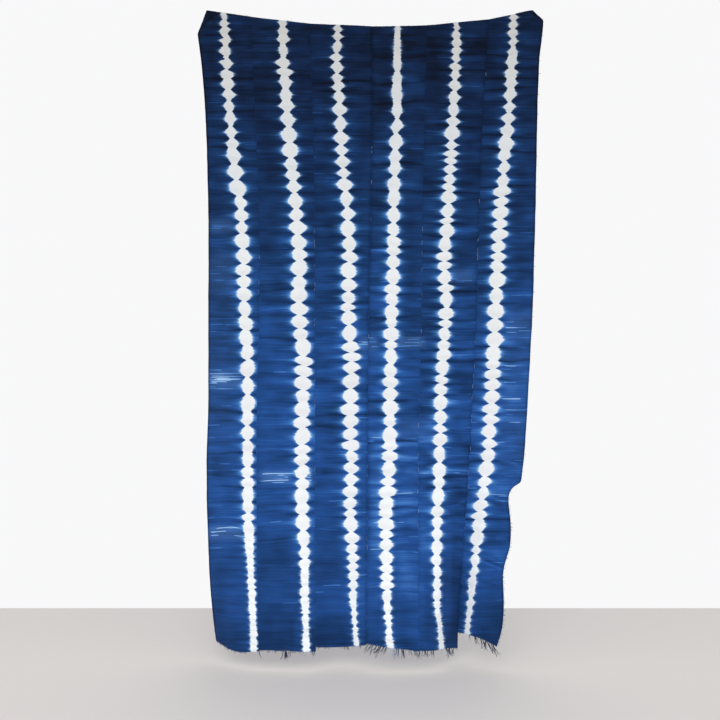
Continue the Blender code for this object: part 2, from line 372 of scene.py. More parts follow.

# %% [markdown]
# ## Puckers, creases and seams in relief
#
# Cloth that was gathered for the dye bath never lies quite flat again. Small level puckers run out
# from each neck of the stripe, and softer ones lie anywhere. A few long creases are listed: each is
# a soft trough or ridge along a line, with its depth in millimetres. At the seams the two selvedges
# turn in a little, most of all along the middle seam, which shows as a dark line.

# %% Relief tables
CREASES = table(
    "x height length slope width depth",
    (0.333, -1.502, 0.080, -0.38, 0.007, 4.0),
    (0.350, -1.484, 0.070, -0.38, 0.007, -3.5),
    (0.335, -1.448, 0.090, -0.20, 0.010, 4.0),
    (0.330, -1.400, 0.090, -0.25, 0.010, 3.0),
    (0.215, -1.452, 0.120, 0.12, 0.011, 4.0),
    (0.220, -1.330, 0.130, 0.25, 0.012, -3.5),
    (0.225, -1.370, 0.130, 0.22, 0.011, 3.5),
    (0.100, -1.462, 0.110, 0.02, 0.007, 2.0),
    (0.095, -1.560, 0.130, 0.06, 0.009, 3.0),
    (0.100, -1.515, 0.090, 0.02, 0.007, -1.6),
    (-0.270, -1.215, 0.120, -0.05, 0.009, 2.6),
    (-0.110, -1.170, 0.100, -0.04, 0.009, 2.2),
    (-0.270, -1.095, 0.110, -0.07, 0.008, 2.4),
    (-0.255, -1.300, 0.120, -0.06, 0.008, 2.0),
    (-0.280, -0.780, 0.130, -0.02, 0.010, 2.6),
    (-0.250, -0.925, 0.110, -0.05, 0.010, 2.4),
    (0.230, -0.900, 0.120, 0.06, 0.010, 2.4),
    (0.250, -1.270, 0.130, 0.15, 0.011, 3.0),
    (-0.090, -0.765, 0.110, 0.00, 0.010, 2.0),
    (0.130, -0.640, 0.120, 0.02, 0.010, 2.0),
    (0.430, -0.520, 0.080, -0.03, 0.010, 1.8),
    (-0.290, -0.330, 0.120, 0.03, 0.012, 1.8),
)
GROOVES = table("seam depth", (1, 0.5), (2, 0.4), (3, 1.4), (4, 0.5), (5, 0.5))
GROOVE_WIDTH = 0.0042
SEAM_GAP = 0.0004
PUCKER_REACH = 0.055
PUCKER_DEPTH = 0.0013
RIPPLES = table("across down depth", (6, 22, 0.0026), (9, 45, 0.0015), (18, 110, 0.0003))
print(len(CREASES), "creases and", len(GROOVES), "grooves along seams")

# %% [markdown]
# The relief follows the edges of each sheet, so the edges are measured first: where the open rim
# crosses a height gives a left and a right side, and where it crosses an X gives the hem and the
# top edge. Arrays of numbers make this quick, because a sheet has about twenty thousand points.

# %% Measuring and moving a sheet
def places(sheet):
    """The sheet's vertices as an array of points."""
    flat = np.zeros(len(sheet.data.vertices) * 3)
    sheet.data.vertices.foreach_get("co", flat)
    return flat.reshape(-1, 3)


def put_places(sheet, points):
    """Moves the sheet's vertices to these points."""
    sheet.data.vertices.foreach_set("co", points.ravel())
    sheet.data.update()


def rim_edges(sheet):
    """The ends of the sheet's open edges, as two arrays of points."""
    shape = bmesh.new()
    shape.from_mesh(sheet.data)
    rim = [[end.co[:] for end in edge.verts] for edge in shape.edges if edge.is_boundary]
    shape.free()
    ends = np.array(rim)
    return ends[:, 0], ends[:, 1]


def crossings(rim, axis, value):
    """Where the rim crosses X (axis 0) or a height (axis 2), in the order of the other of the two."""
    first, second = rim
    over = (first[:, axis] - value) * (second[:, axis] - value) < 0
    share = (value - first[over, axis]) / (second[over, axis] - first[over, axis])
    met = first[over] + (second[over] - first[over]) * share[:, None]
    return met[np.argsort(met[:, 2 - axis])]


SIDE_HEIGHTS = np.arange(-1.70, 0.041, 0.006)


def side_lines(sheet):
    """Points on the left and on the right side of a sheet, at SIDE_HEIGHTS."""
    rim = rim_edges(sheet)
    left, right = [], []
    for height in SIDE_HEIGHTS:
        met = crossings(rim, 2, height)
        left.append(met[0] if len(met) else left[-1])
        right.append(met[-1] if len(met) else right[-1])
    return np.array(left), np.array(right)


def from_sides(strip, points):
    """How far inside the left and the right side of a strip these points lie."""
    left, right = (np.interp(points[:, 2], SIDE_HEIGHTS, line[:, 0]) for line in sides[strip])
    return points[:, 0] - left, right - points[:, 0]


sides = {strip: side_lines(sheet) for strip, sheet in sheets.items()}
widths = [np.mean(right[:, 0] - left[:, 0]) for left, right in sides.values()]
print("mean widths of the strips in millimetres:", [round(width / MM) for width in widths])

# %% [markdown]
# Each kind of relief is a function that gives a depth for every point, so that one can be changed
# or left out without touching the others. Their sum moves the points back or forth, and beside a
# seam they also move a hair sideways, until neighbours meet.

# %% Shaping the relief
def bell(off):
    """1 where off is 0, and softly down to 0 on both sides of it."""
    return np.exp(-(off**2))


def ripple(points):
    """Soft chance waves, longer along the weft than down the warp."""
    total = np.zeros(len(points))
    for wave in RIPPLES:
        scale = Vector((wave.across, 1, wave.down))
        total += [wave.depth * noise.noise(scale * Vector(point)) for point in points]
    return total


def crease(points):
    """The soft troughs (+) and ridges (-) listed in the table."""
    total = np.zeros(len(points))
    for line in CREASES:
        along = points[:, 0] - line.x
        off = points[:, 2] - line.height - line.slope * along
        ends = np.clip(1 - (2 * along / line.length) ** 2, 0, 1)
        total += line.depth * MM * ends * bell(off / line.width)
    return total


def groove(strip, points):
    """How far the selvedges turn in beside the seams."""
    depths = {line.seam: line.depth * MM for line in GROOVES}
    total = np.zeros(len(points))
    for seam, away in zip((strip - 1, strip), from_sides(strip, points)):
        total += depths.get(seam, 0) * bell(away / GROOVE_WIDTH)
    return total


def bead_count(strip, side, heights):
    """Beads passed on one side of the stripe, down to these heights."""
    drops = np.sort(-np.array(necks[strip][side]))
    return np.interp(-heights, drops, np.arange(len(drops)))


def pucker(strip, points):
    """Level puckers that run out from the necks of the stripe."""
    x, height = as_seen(points)
    across = x - stripe_x(strip, height)
    counts = [bead_count(strip, side, height) for side in (0, 1)]
    count = np.where(across < 0, *counts)
    return PUCKER_DEPTH * np.exp(-np.abs(across) / PUCKER_REACH) * np.cos(math.tau * count)


def closing(strip, points):
    """How far to the side the selvedges go, so that neighbours meet."""
    from_left, from_right = from_sides(strip, points)
    move = np.zeros(len(points))
    if strip > 1:
        move -= SEAM_GAP / 2 * bell(from_left / GROOVE_WIDTH)
    if strip < STRIPS:
        move += SEAM_GAP / 2 * bell(from_right / GROOVE_WIDTH)
    return move


for strip, sheet in sheets.items():
    points = places(sheet)
    depth = ripple(points) + crease(points) + groove(strip, points) + pucker(strip, points)
    points[:, 0] += closing(strip, points)
    points[:, 1] += depth
    put_places(sheet, points)
    print(sheet.name, "relief from", round(depth.min() / MM, 1), "to", round(depth.max() / MM, 1), "mm")

# %% [markdown]
# ## Places for the dye and the painted shade
#
# The dye follows the cloth, so each sheet carries its own map: how far a point lies from the middle
# of the stripe, and how far down the cloth. A second map holds the number of beads passed on the
# left and on the right, and a third the half widths of belly and neck there. A tone for the blue
# changes along the whole cloth: nearly black at the top, clear blue low down, darker at the hem. It
# is partly the depth of the dye and partly painted shade, which makes the top darker. Each strip and
# some selvedges differ a little from it, where side 0 is a strip's left one and side 1 its right one;
# beside the seams the darker selvedges are painted shade in the seam groove. Two tables are given as
# seen from the camera: patches, which are lighter, darker or worn, where the darker ones in the folds
# low down are painted fold shadows, and single streaks along the weft, with dark and light lines
# beside some creases that are their painted shade and highlight.

# %% Dye and painted shade tables
# Tone by height: partly the depth of the dye and partly painted shade, which makes the top darker.
TONES_WITH_SHADE = table(
    "height tone",
    (0.04, 0.10),
    (-0.15, 0.15),
    (-0.40, 0.26),
    (-0.62, 0.35),
    (-0.85, 0.45),
    (-1.10, 0.52),
    (-1.40, 0.54),
    (-1.55, 0.51),
    (-1.70, 0.45),
    (-1.76, 0.38),
)
STRIP_TONES = (0.005, 0.01, 0.015, 0.02, -0.01, 0.02)
# Darker selvedges. Beside the seams this is painted shade in the seam groove; along the cloth's outer
# edges it only darkens the blue.
SELVEDGES_AND_SEAM_SHADE = table(
    "strip side tone",
    (1, 0, -0.22),
    (3, 1, -0.09),
    (4, 0, -0.06),
    (5, 1, -0.05),
    (6, 1, -0.16),
)
SELVEDGE_WIDTH = 0.0045
# Patches of tone and wear. The darker ones low down, in the fold beside seam 5, on strips 2 and 3 near
# the hem and at the hem on the right, are painted fold shadows.
PATCHES_AND_FOLD_SHADOWS = table(
    "x height half_width half_height tone worn",
    (-0.405, -0.990, 0.050, 0.026, 0.05, 0.42),
    (-0.405, -1.420, 0.055, 0.020, 0.05, 0.42),
    (-0.265, -1.262, 0.044, 0.018, 0.09, 0.50),
    (-0.175, -1.265, 0.014, 0.018, 0.05, 0.45),
    (0.110, -0.885, 0.045, 0.016, 0.04, 0.40),
    (-0.005, -0.890, 0.030, 0.022, 0.05, 0.30),
    (0.250, -0.700, 0.040, 0.020, 0.03, 0.28),
    (0.420, -0.840, 0.040, 0.040, 0.02, 0.20),
    (-0.415, -0.560, 0.035, 0.020, 0.03, 0.25),
    (-0.415, -0.690, 0.040, 0.060, 0.04, 0.16),
    (0.130, -1.130, 0.050, 0.030, 0.04, 0.16),
    (0.115, -1.470, 0.040, 0.220, 0.07, 0.0),
    (0.160, -1.480, 0.020, 0.140, 0.04, 0.0),
    (-0.420, -0.980, 0.045, 0.250, -0.01, 0.07),
    (0.414, -1.060, 0.055, 0.220, 0.04, 0.10),
    (-0.290, -0.230, 0.050, 0.060, -0.05, 0.0),
    (-0.270, -1.470, 0.050, 0.070, -0.09, 0.0),
    (-0.115, -1.720, 0.060, 0.060, -0.05, 0.0),
    (0.340, -1.690, 0.050, 0.080, -0.10, 0.0),
    (-0.218, -1.700, 0.009, 0.050, -0.06, 0.0),
    (0.244, -1.540, 0.016, 0.150, -0.07, 0.0),
    (-0.270, -1.720, 0.050, 0.060, -0.09, 0.0),
    (0.028, -1.330, 0.026, 0.160, 0.09, 0.06),
    (-0.010, -0.200, 0.090, 0.160, -0.03, 0.0),
    (0.155, -0.900, 0.060, 0.220, -0.04, 0.0),
    (-0.145, -0.590, 0.055, 0.200, -0.035, 0.0),
    (-0.190, -0.060, 0.280, 0.060, -0.02, 0.0),
    (0.150, -0.060, 0.060, 0.070, -0.04, 0.0),
    (-0.115, -1.475, 0.035, 0.075, -0.05, 0.0),
    (-0.130, -1.115, 0.060, 0.020, -0.06, 0.0),
    (-0.130, -1.285, 0.060, 0.018, -0.05, 0.0),
    (0.225, -1.500, 0.035, 0.070, -0.03, 0.0),
    (0.425, -0.620, 0.050, 0.220, 0.03, 0.0),
    (0.000, -1.560, 0.040, 0.120, 0.05, 0.0),
)
# Streaks along the weft. The paired dark and light lines low on strips 5 and 6 follow the creases
# there: they are painted shade and highlight of those creases.
STREAKS_AND_CREASE_SHADING = table(
    "x height length slope width tone",
    (-0.403, -1.156, 0.090, 0.02, 0.0030, 0.10),
    (-0.266, -1.039, 0.090, 0.00, 0.0030, 0.07),
    (-0.262, -1.162, 0.080, -0.03, 0.0028, 0.09),
    (-0.258, -1.184, 0.080, -0.02, 0.0026, 0.08),
    (-0.266, -1.207, 0.070, -0.02, 0.0026, 0.08),
    (-0.260, -1.368, 0.080, -0.06, 0.0026, 0.12),
    (-0.125, -1.047, 0.100, 0.00, 0.0070, 0.06),
    (-0.110, -0.994, 0.110, -0.03, 0.0050, -0.11),
    (-0.110, -1.068, 0.110, -0.03, 0.0070, -0.11),
    (-0.115, -1.122, 0.100, -0.04, 0.0040, -0.10),
    (-0.105, -1.190, 0.100, -0.02, 0.0026, 0.10),
    (-0.110, -1.250, 0.110, -0.02, 0.0070, -0.09),
    (-0.115, -1.408, 0.060, -0.05, 0.0024, 0.12),
    (0.003, -1.162, 0.020, 0.00, 0.0024, 0.30),
    (0.108, -1.169, 0.080, 0.02, 0.0050, 0.07),
    (0.120, -1.300, 0.080, 0.00, 0.0120, 0.07),
    (0.125, -0.960, 0.110, 0.02, 0.0060, -0.08),
    (0.120, -1.075, 0.110, 0.02, 0.0060, -0.08),
    (0.275, -0.742, 0.110, 0.00, 0.0120, -0.08),
    (0.130, -0.470, 0.110, 0.02, 0.0060, -0.08),
    (-0.120, -0.560, 0.120, -0.02, 0.0060, -0.08),
    (-0.280, -0.420, 0.120, 0.02, 0.0070, -0.08),
    (0.265, -1.180, 0.100, 0.05, 0.0120, -0.10),
    (0.250, -1.220, 0.080, 0.08, 0.0030, 0.11),
    (0.250, -1.275, 0.080, 0.10, 0.0120, 0.06),
    (0.240, -1.313, 0.090, 0.20, 0.0090, -0.12),
    (0.232, -1.343, 0.050, 0.02, 0.0030, 0.13),
    (0.262, -1.330, 0.040, 0.60, 0.0030, 0.13),
    (0.240, -1.368, 0.090, 0.15, 0.0080, -0.12),
    (0.245, -1.440, 0.090, 0.10, 0.0120, -0.08),
    (0.385, -1.219, 0.070, -0.25, 0.0028, 0.16),
    (0.385, -1.230, 0.070, -0.25, 0.0050, -0.10),
    (0.350, -1.322, 0.060, -0.30, 0.0040, 0.12),
    (0.365, -1.350, 0.080, -0.20, 0.0100, -0.08),
    (0.345, -1.446, 0.090, -0.05, 0.0100, -0.14),
    (0.368, -1.436, 0.040, -0.10, 0.0060, 0.16),
    (0.335, -1.500, 0.080, -0.38, 0.0032, -0.16),
    (0.337, -1.508, 0.080, -0.38, 0.0030, 0.12),
    (0.330, -1.560, 0.080, -0.30, 0.0060, -0.08),
)
print(len(PATCHES_AND_FOLD_SHADOWS), "patches and", len(STREAKS_AND_CREASE_SHADING), "streaks")

# %% [markdown]
# A UV map holds two values for each point, which suits places and counts, and a named attribute
# holds one. Both stay with the mesh when it is cut, thickened or exported, so the dye never slides.

# %% Maps and tones on a sheet
def tone_with_shade_at(heights):
    """The tone of the blue at these heights, without strips or patches: partly dye, partly painted
    shade at the top.
    """
    return np.interp(-heights, [-row.height for row in TONES_WITH_SHADE], [row.tone for row in TONES_WITH_SHADE])


def write_pairs(sheet, name, first, second):
    """A UV map of this name with two values for each vertex."""
    layer = sheet.data.uv_layers.new(name=name)
    corners = np.zeros(len(sheet.data.loops), dtype=np.int64)
    sheet.data.loops.foreach_get("vertex_index", corners)
    layer.data.foreach_set("uv", np.stack([first, second], 1)[corners].ravel())


def write_value(sheet, name, values):
    """A named value for each vertex."""
    layer = sheet.data.attributes.new(name, "FLOAT", "POINT")
    layer.data.foreach_set("value", np.asarray(values, dtype=np.float32))


def patches(x, height):
    """What the patches add to the tone and to the wear; the darker ones low down in folds are painted
    shadows. They are flat inside, with soft edges.
    """
    tone, worn = np.zeros(len(x)), np.zeros(len(x))
    for patch in PATCHES_AND_FOLD_SHADOWS:
        across = (x - patch.x) / patch.half_width
        down = (height - patch.height) / patch.half_height
        share = np.exp(-(across**6) - down**4)
        tone += patch.tone * share
        worn += patch.worn * share
    return tone, worn


def streaks(x, height):
    """What the single streaks add to the tone, with the painted shade and highlight beside creases."""
    total = np.zeros(len(x))
    for streak in STREAKS_AND_CREASE_SHADING:
        along = x - streak.x
        off = (height - streak.height - streak.slope * along) / streak.width
        ends = np.clip(1 - np.abs(2 * along / streak.length) ** 3, 0, 1)
        total += streak.tone * ends * bell(off)
    return total


def selvedge_and_seam_shade(strip, points):
    """Darker along some of the selvedges: beside the seams this is painted shade in the seam groove."""
    total = np.zeros(len(points))
    for row in SELVEDGES_AND_SEAM_SHADE:
        if row.strip == strip:
            away = from_sides(strip, points)[row.side]
            total += row.tone * bell(away / SELVEDGE_WIDTH)
    return total


for strip, sheet in sheets.items():
    points = places(sheet)
    x, height = as_seen(points)
    across = x - stripe_x(strip, height)
    for old in list(sheet.data.uv_layers):
        sheet.data.uv_layers.remove(old)
    write_pairs(sheet, "Cloth", across, -height)
    write_pairs(sheet, "Beads", bead_count(strip, 0, height), bead_count(strip, 1, height))
    belly, neck = (stretch_value(strip, name, height) for name in ("belly", "neck"))
    write_pairs(sheet, "Form", belly, neck)
    more, worn = patches(x, height)
    more += STRIP_TONES[strip - 1] + streaks(x, height)
    write_value(sheet, "tone", tone_with_shade_at(height) + more + selvedge_and_seam_shade(strip, points))
    write_value(sheet, "worn", worn)
    write_value(sheet, "strip", np.full(len(x), strip))
print("maps on each sheet:", [layer.name for layer in sheets[1].data.uv_layers])

# %% [markdown]
# ## A way to write node formulas
#
# The dye needs some arithmetic. Every math node does one step, so a formula soon becomes a web of
# boxes that is hard to read. The small class below wraps a node's output and adds a math node for
# each sign, so that the formulas can be written as formulas.

# %% Node arithmetic
class Amount:
    """An output of a node tree that can be added, multiplied, divided and raised to a power."""

    tree = None

    def __init__(self, socket):
        self.socket = socket

    def __add__(self, other):
        return calc("ADD", self, other)

    def __sub__(self, other):
        return calc("SUBTRACT", self, other)

    def __rsub__(self, other):
        return calc("SUBTRACT", other, self)

    def __mul__(self, other):
        return calc("MULTIPLY", self, other)

    def __truediv__(self, other):
        return calc("DIVIDE", self, other)

    def __pow__(self, other):
        return calc("POWER", self, other)

    def __abs__(self):
        return calc("ABSOLUTE", self)

    __radd__ = __add__
    __rmul__ = __mul__


def add_node(kind, **settings):
    """A new node with these settings."""
    made = Amount.tree.nodes.new(kind)
    for name, value in settings.items():
        setattr(made, name, value)
    return made


def feed(socket, value):
    """Links an amount to a socket, or sets the socket to a plain number."""
    if isinstance(value, Amount):
        Amount.tree.links.new(value.socket, socket)
    else:
        socket.default_value = value


def calc(operation, *values):
    """One step of arithmetic."""
    made = add_node("ShaderNodeMath", operation=operation)
    for socket, value in zip(made.inputs, values):
        feed(socket, value)
    return Amount(made.outputs[0])


def fade(off, width):
    """1 where off is 0, and less and less further away."""
    return calc("EXPONENT", off / width * -1)


def smooth_step(value, start, end):
    """0 before start and 1 after end, with a smooth change between them."""
    made = add_node("ShaderNodeMapRange", interpolation_type="SMOOTHSTEP", clamp=True)
    feed(made.inputs["Value"], value)
    feed(made.inputs["From Min"], start)
    feed(made.inputs["From Max"], end)
    return Amount(made.outputs["Result"])


print("formulas can now be written with", Amount.__name__)

# %% [markdown]
# A formula starts from what the sheet carries, or from chance. Chance comes from two kinds of node:
# a soft mottle, whose numbers say how many waves it has in a metre, and dice, which jump from one
# whole number to the next. It ends in a colour or in a little relief.

# %% Where formulas start and end
def pair(name):
    """The two values of one of the sheet's maps."""
    made = add_node("ShaderNodeUVMap", uv_map=name)
    parts = add_node("ShaderNodeSeparateXYZ")
    Amount.tree.links.new(made.outputs["UV"], parts.inputs[0])
    return Amount(parts.outputs["X"]), Amount(parts.outputs["Y"])


def made_place():
    """Where a point lies on its piece, in metres."""
    made = add_node("ShaderNodeTexCoord")
    parts = add_node("ShaderNodeSeparateXYZ")
    Amount.tree.links.new(made.outputs["Object"], parts.inputs[0])
    return [Amount(output) for output in parts.outputs]


def value_of(name):
    """A named value of the sheet."""
    return Amount(add_node("ShaderNodeAttribute", attribute_name=name).outputs["Fac"])


def vector_of(x, y, z):
    """A place in the pattern, from three amounts or plain numbers."""
    made = add_node("ShaderNodeCombineXYZ")
    for socket, value in zip(made.inputs, (x, y, z)):
        feed(socket, value)
    return Amount(made.outputs[0])


MOTTLE_GAIN = 3.2


def mottle(x, y, z, detail):
    """Soft chance values around 0, mostly between -1 and 1."""
    made = add_node("ShaderNodeTexNoise", noise_dimensions="3D")
    feed(made.inputs["Vector"], vector_of(x, y, z))
    feed(made.inputs["Scale"], 1.0)
    feed(made.inputs["Detail"], detail)
    return (Amount(made.outputs["Fac"]) - 0.5) * MOTTLE_GAIN


def dice(x, y):
    """Three values from 0 to 1 that jump from one whole number to the next."""
    made = add_node("ShaderNodeTexWhiteNoise", noise_dimensions="2D")
    feed(made.inputs["Vector"], vector_of(x, y, 0.0))
    parts = add_node("ShaderNodeSeparateColor")
    Amount.tree.links.new(made.outputs["Color"], parts.inputs[0])
    return [Amount(output) for output in parts.outputs]


def blend_colours(share, first, second):
    """From the first colour to the second. A colour is an amount or a plain one."""
    made = add_node("ShaderNodeMix", data_type="RGBA")
    feed(made.inputs["Factor"], share)
    feed(made.inputs["A"], first)
    feed(made.inputs["B"], second)
    return Amount(made.outputs["Result"])


def colour_scale(value, stops):
    """A scale of colours from stops of (place, colour)."""
    made = add_node("ShaderNodeValToRGB")
    scale = made.color_ramp.elements
    while len(scale) < len(stops):
        scale.new(0.5)
    for element, (place, colour) in zip(scale, stops):
        element.position = place
        element.color = colour
    feed(made.inputs["Fac"], value)
    return Amount(made.outputs["Color"])


def add_relief(shader, height, strength, distance):
    """Small relief on a shader, from a formula for its height."""
    bump = add_node("ShaderNodeBump")
    bump.inputs["Strength"].default_value = strength
    bump.inputs["Distance"].default_value = distance
    feed(bump.inputs["Height"], height)
    Amount.tree.links.new(bump.outputs["Normal"], shader.inputs["Normal"])


print("a mottle mostly lies between -1 and 1, with a gain of", MOTTLE_GAIN)

# %% [markdown]
# ## The dyed cotton
#
# Every colour on the cloth is one of a few: a scale of blues, a scale of undyed cotton that is greyer
# at the top, where the grey is painted shade, and the blue-white tones between the two. They were
# judged as a screen shows them, and a shader wants them as light, so a function turns one into the
# other.

# %% Colours
def srgb(red, green, blue):
    """A colour given as a screen shows it, from 0 to 255, as light."""
    shares = (red / 255, green / 255, blue / 255)
    light = [((c + 0.055) / 1.055) ** 2.4 if c > 0.04 else c / 12.92 for c in shares]
    return (*light, 1.0)


INDIGO_SCALE = (
    (0.00, srgb(5, 14, 31)),
    (0.18, srgb(12, 32, 64)),
    (0.38, srgb(20, 52, 97)),
    (0.62, srgb(35, 80, 149)),
    (0.80, srgb(64, 117, 188)),
    (1.00, srgb(165, 202, 238)),
)
GLOW_BLUE = srgb(84, 158, 232)
RIM_WHITE = srgb(222, 238, 252)
WORN_GREY = srgb(115, 155, 200)
# Undyed cotton, greyer towards the top: this greying is painted shade.
UNDYED_WITH_SHADE_SCALE = (
    (0.00, srgb(186, 187, 184)),
    (0.15, srgb(200, 204, 207)),
    (0.34, srgb(216, 219, 220)),
    (0.63, srgb(226, 229, 232)),
    (0.90, srgb(242, 247, 250)),
)
UNDYED_LENGTH = 1.75
print("the scale of blues has", len(INDIGO_SCALE), "stops")

# %% [markdown]
# The colour is worked out from the edge of the bead outwards. A bead is an arch in each half of the
# stripe, sharp or round by chance, between two necks that were gripped more or less tightly. Its
# edge has small spikes, where single weft threads kept the dye out, and follows the finer lines of
# the weft. Two small dark notches near the top of the first stripe are listed.

# %% Shape of the beads
SPIKE_OUT = 0.0034
SPIKE_IN = 0.0012
LINE_EDGE = 0.0014
BAND_EDGE = 0.0018
NOTCH_PLACE = -0.011
NOTCH_WIDTH = 0.008
NOTCH_HEIGHT = 0.0026
NOTCH_DEPTH = 0.016
NOTCHES = (-0.032, -0.092)


def stitch(across, drift=0.0):
    """How many stitches were passed, on this side of the stripe, and whether it is the right."""
    left, right = pair("Beads")
    is_right = calc("GREATER_THAN", across, 0.0)
    return left + (right - left) * is_right + drift, is_right


def bead_dice(count, strip, is_right=0.0):
    """Three chance values of the bead here. Its right half may have its own."""
    return dice(calc("FLOOR", count) + 0.5, strip * 7 + is_right * 3)


def neck_dice(count, strip):
    """Three chance values of the nearest neck."""
    return dice(calc("FLOOR", count + 0.5) + 0.5, strip * 7 + 1)


def from_belly(count):
    """0 at the bead's belly and 1 at its necks."""
    return abs(calc("FRACT", count) * 2 - 1)


def bead_half_width(across, down, strip):
    """Half of the stripe's width here, and how near the bead's belly it is (0 to 1)."""
    belly, neck = pair("Form")
    count, is_right = stitch(across)
    shape, size, _ = bead_dice(count, strip)
    uneven, _, _ = bead_dice(count, strip, is_right)
    grip, _, _ = neck_dice(count, strip)
    roundness = smooth_step(down, 0.30, 0.75) * 0.9 + 0.85
    arch = 1 - from_belly(count) ** (shape * shape * 1.3 + roundness)
    belly = belly * (size * 0.28 + uneven * 0.20 + 0.72)
    neck = calc("MINIMUM", neck * (grip**4.0 + 0.60), belly)
    crossing = abs(mottle(across * 2, down * 70, strip * 1.7 + is_right * 5.0, 1.0))
    spike = calc("MAXIMUM", 1 - crossing * 1.8, 0.0) * SPIKE_OUT - SPIKE_IN
    return neck + (belly - neck) * arch + spike * (0.3 + 0.7 * arch), arch


def notch(across, down, strip, height):
    """A small dark notch in the left edge of the first stripe."""
    sideways = (across - NOTCH_PLACE) / NOTCH_WIDTH
    upwards = (down + height) / NOTCH_HEIGHT
    is_first = calc("LESS_THAN", strip, 1.5)
    return calc("EXPONENT", (sideways * sideways + upwards * upwards) * -1) * is_first


def outside_bead(across, down, strip, weft, half_width):
    """How far outside the edge of the bead a point lies."""
    outside = abs(across) - half_width + weft.lines * LINE_EDGE + weft.bands * BAND_EDGE
    notches = sum(notch(across, down, strip, height) for height in NOTCHES)
    return outside + notches * NOTCH_DEPTH


print("the first stripe has", len(NOTCHES), "notches")

# %% [markdown]
# The weft is what the dye follows, so most of the pattern is streaks along it, at several sizes:
# fine lines where single threads took more dye or less, bands, and broad blocks where the cloth was
# gathered. The rows sag a little lower down, as the cloth does. The pattern also changes down the
# cloth: it is plainer at the top and near the hem, and livelier in the lower middle of the three
# strips on the right. Each such zone is an amount from 0 to 1 that changes gradually.

# %% Weft and zones
WEFT_ROW = 0.0022
Weft = namedtuple("Weft", "run row thread shift fine lines bands broad blocks")
Zone = namedtuple("Zone", "low wide near_hem lively")


def weft_of(x, down, strip):
    """Chance values that follow the weft, from single threads to broad blocks."""
    sag = 0.002 + 0.006 * smooth_step(down, 0.9, 1.5)
    run = down + mottle(x * 7, down * 6, 1.5, 1.0) * sag
    row = calc("FLOOR", run / WEFT_ROW)
    thread, shift, _ = dice(row + 0.5, strip)
    fine = mottle(x * 16, run * 900, strip * 3.1, 2.0)
    lines = mottle(x * 12, run * 400, strip * 5.3 + 9, 1.0)
    bands = mottle(x * 13, run * 110, 4.0, 2.0)
    broad = mottle(x * 15, run * 34, 2.0, 1.0)
    blocks = smooth_step(mottle(x * 5, run * 45, strip * 2.9, 0.0), -0.25, 0.25) - 0.5
    return Weft(run, row, thread, shift, fine, lines, bands, broad, blocks)


def zone_of(down, strip):
    """How far a point is below the top, where beads are wide and at the hem, and how lively it is."""
    is_right_half = calc("GREATER_THAN", strip, 3.5)
    middle = smooth_step(down, 0.80, 1.10) - smooth_step(down, 1.40, 1.60)
    low = smooth_step(down, 0.0, 0.40)
    wide = smooth_step(down, 0.15, 0.60)
    near_hem = smooth_step(down, 1.35, 1.60) * 0.7
    lively = 1 - smooth_step(down, 1.20, 1.50) * 0.4 + is_right_half * middle * 0.4
    return Zone(low, wide, near_hem, lively)


print("one row of the weft is", round(WEFT_ROW / MM, 1), "mm high")

# %% [markdown]
# At a bead's edge, dye crept along the weft threads, so the edge is feathered sideways: first a
# white rim, then a bright blue glow, which reaches furthest at the belly, on its left side and along
# the lighter threads. The blue beyond is a little lighter beside the stripe. Light smears run out
# from the beads into it, and dark lines from the necks. Where it is worn, short pale scratches show.

# %% Dye around the beads
GLOW_REACH = 0.0009
GLOW_MORE = 0.0008
FEATHER = 0.0026
FEATHER_MORE = 0.0042
RIM_REACH = 0.0006
RIM_MORE = 0.0014
HALO_REACH = 0.018
HALO = 0.09


def glow_and_rim(across, outside, arch, streak, zone):
    """The blue glow and the white rim where the dye crept under the stitches."""
    tip = arch**1.9
    spread = calc("MAXIMUM", outside, 0.0)
    is_left = calc("LESS_THAN", across, 0.0)
    feather = tip * (0.30 + 0.70 * streak) * (FEATHER + FEATHER_MORE * zone.low)
    feather = feather * (1 + 0.4 * is_left) * (1 - zone.near_hem)
    reach = GLOW_REACH + GLOW_MORE * zone.wide + feather
    glow = fade(spread, reach) * (0.25 + 0.25 * zone.wide + 0.50 * tip)
    rim = fade(spread, RIM_REACH + RIM_MORE * tip)
    return glow * (0.50 + 0.45 * zone.low), rim * (0.30 + 0.60 * zone.low)


def pleats(across, down, x, strip):
    """Light smears that run out from the beads, and dark lines that run out from the necks."""
    off = abs(across)
    drift = mottle(x * 9, down * 7, 31.0, 0.0) * 0.20 * smooth_step(off, 0.008, 0.06)
    count, is_right = stitch(across, drift)
    _, smear, _ = bead_dice(count, strip, is_right)
    grip, _, _ = neck_dice(count, strip)
    away = from_belly(count)
    light = fade(off, smear * 0.07 + 0.015) * (1 - away) ** 1.5
    dark = fade(off, grip * 0.09 + 0.012) * away**5.0
    return light * (smear * smear * smear * 0.30 + 0.04), dark * (grip * grip * 0.30 + 0.03)


